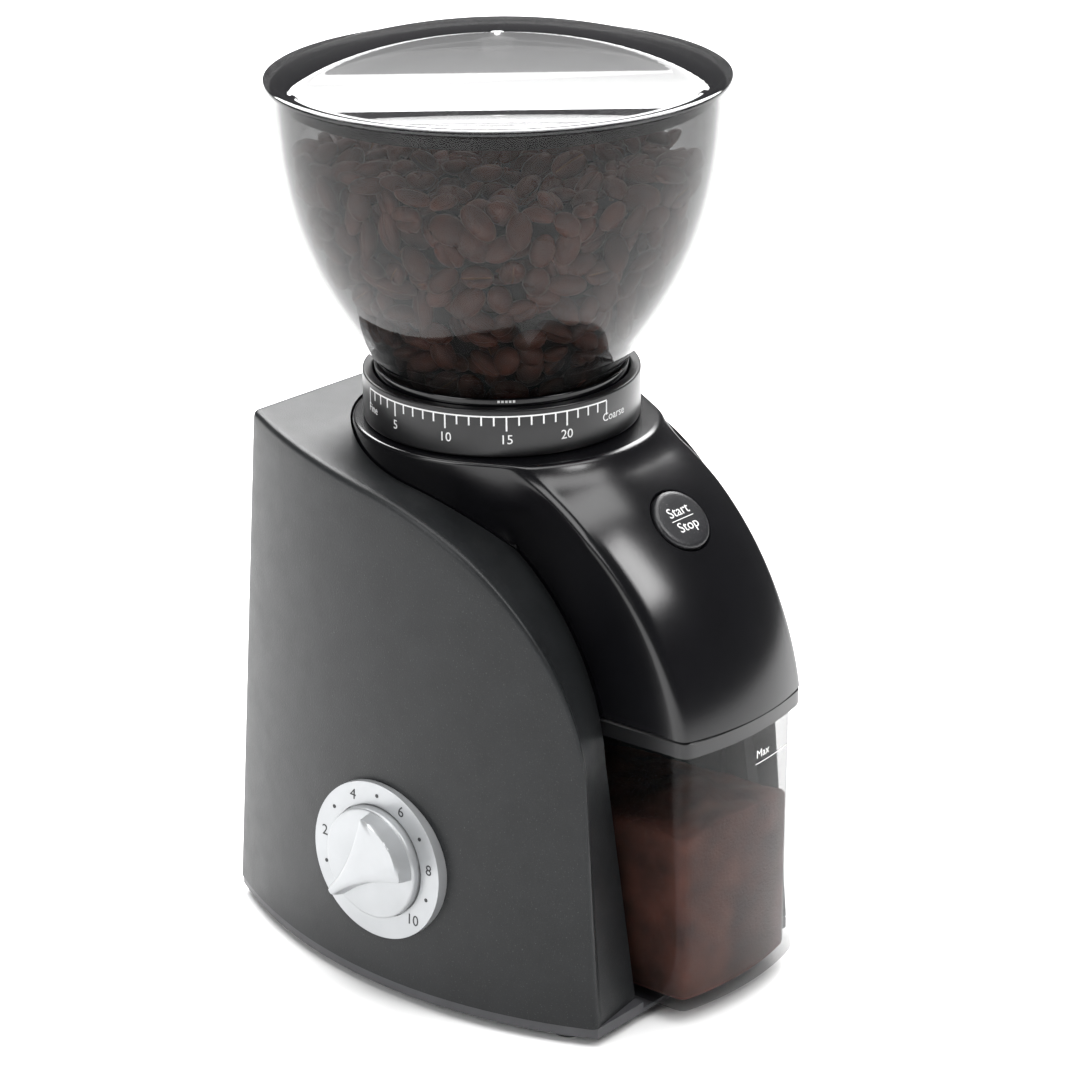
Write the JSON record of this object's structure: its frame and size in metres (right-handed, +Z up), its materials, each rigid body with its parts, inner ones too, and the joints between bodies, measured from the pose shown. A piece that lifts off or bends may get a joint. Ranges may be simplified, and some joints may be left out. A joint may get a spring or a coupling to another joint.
{
  "type": "burr coffee grinder",
  "caption": "Conical burr coffee grinder with a lift-off bean hopper on a turning grind collar, a timer dial, a start button and a pull-out clear grounds bin.",
  "frame": {"origin": "on the surface the feet stand on, directly under the vertical grinding axis that the hopper, scale ring and burrs share", "axes": "+Z up; -Y the front, where the grounds bin slides out; -X the side with the timer dial"},
  "size_m": [0.1503, 0.1671, 0.2787],
  "materials": {
    "shell_plastic": "fine texture, satin charcoal",
    "gloss_black": "high gloss",
    "ring_black": "satin",
    "base_plastic": "satin",
    "foot_rubber": "matt",
    "steel": "plain",
    "frame_plastic": "plain",
    "motor_steel": "zinc plated",
    "magnet": "matt",
    "copper_iron": "wound copper on iron",
    "brass": "plain",
    "gear_plastic": "natural",
    "bronze": "sintered",
    "chamber_plastic": "plain",
    "burr_steel": "ground",
    "felt": "felt",
    "smoked_clear": "smoked, clear, high gloss",
    "smoked_lid": "smoked, clear, high gloss",
    "button_black": "fine satin",
    "switch_plastic": "plain",
    "dial_silver": "satin silver",
    "board_green": "solder mask",
    "bin_clear": "smoked, clear, high gloss",
    "rim_black": "satin gloss"
  },
  "bodies": {
    "housing": {"base_plate": "base_plastic", "rubber_feet": "foot_rubber", "base_screws": "steel", "left_side_shell": "shell_plastic", "right_side_shell": "shell_plastic", "front_hood": "gloss_black", "inner_frame": "frame_plastic", "motor_case": "motor_steel", "motor_end_cap": "frame_plastic", "motor_magnets": "magnet", "motor_screws": "steel", "idler_pin": "steel", "shaft_bushes": "bronze", "gearbox_cover": "frame_plastic", "grind_chamber": "chamber_plastic", "exit_chute": "chamber_plastic", "scale_ring": "ring_black", "button_spring": "steel", "button_switch": "switch_plastic", "hopper_switch": "switch_plastic", "timer_bezel": "dial_silver", "timer_switch": "switch_plastic", "circuit_board": "board_green", "cord_bushing": "foot_rubber"},
    "rotor": {"motor_rotor": "copper_iron", "motor_pinion": "brass"},
    "idler": {"idler_gear": "gear_plastic"},
    "burr_drive": {"output_gear": "gear_plastic", "burr_shaft": "steel", "impeller": "chamber_plastic", "cone_burr": "burr_steel", "burr_bolt": "steel"},
    "upper_burr": {"ring_burr": "burr_steel", "burr_carrier": "chamber_plastic", "burr_gasket": "felt"},
    "adjuster": {"adjust_collar": "gloss_black"},
    "hopper": {"hopper": "smoked_clear"},
    "lid": {"hopper_lid": "smoked_lid"},
    "button": {"start_button": "button_black"},
    "dial": {"timer_knob": "dial_silver", "timer_spindle": "steel"},
    "bin": {"grounds_bin": "bin_clear", "bin_rim": "rim_black"}
  },
  "joints": [
    {"name": "motor_spin", "type": "hinge", "parent": "housing", "child": "rotor", "pos_m": [0, 0.03336, 0.06], "axis": [0, 0, 1], "continuous": true},
    {"name": "idler_spin", "type": "hinge", "parent": "housing", "child": "idler", "pos_m": [0.0198, 0.0198, 0.108], "axis": [0, 0, 1], "continuous": true},
    {"name": "burr_spin", "type": "hinge", "parent": "housing", "child": "burr_drive", "pos_m": [0, 0, 0.11], "axis": [0, 0, 1], "continuous": true},
    {"name": "grind_adjust", "type": "hinge", "parent": "housing", "child": "adjuster", "pos_m": [0, 0, 0.165], "axis": [0, 0, 1], "range_deg": [-70, 45]},
    {"name": "burr_lift", "type": "slide", "parent": "housing", "child": "upper_burr", "axis": [0, 0, 1], "range_m": [-0.0009, 0.0006]},
    {"name": "hopper_lift", "type": "slide", "parent": "adjuster", "child": "hopper", "axis": [0, 0, 1], "range_m": [0, 0.12]},
    {"name": "lid_lift", "type": "slide", "parent": "hopper", "child": "lid", "axis": [0, 0, 1], "range_m": [0, 0.06]},
    {"name": "start_press", "type": "slide", "parent": "housing", "child": "button", "axis": [0, 0.682, -0.7314], "range_m": [0, 0.002], "stiffness_N_per_m": 600, "springref_m": -0.002, "deforming": ["button_spring"]},
    {"name": "timer_turn", "type": "hinge", "parent": "housing", "child": "dial", "pos_m": [-0.07018, -0.014, 0.045], "axis": [0.9966, 0.0561, -0.0602], "range_deg": [0, 270]},
    {"name": "bin_slide", "type": "slide", "parent": "housing", "child": "bin", "axis": [0, -1, 0], "range_m": [0, 0.09]}
  ],
  "couplings": [
    {"joint": "idler_spin", "follows": "motor_spin", "ratio": -0.33333},
    {"joint": "burr_spin", "follows": "motor_spin", "ratio": 0.090909},
    {"joint": "burr_lift", "follows": "grind_adjust", "m_per_rad": 0.0007}
  ]
}
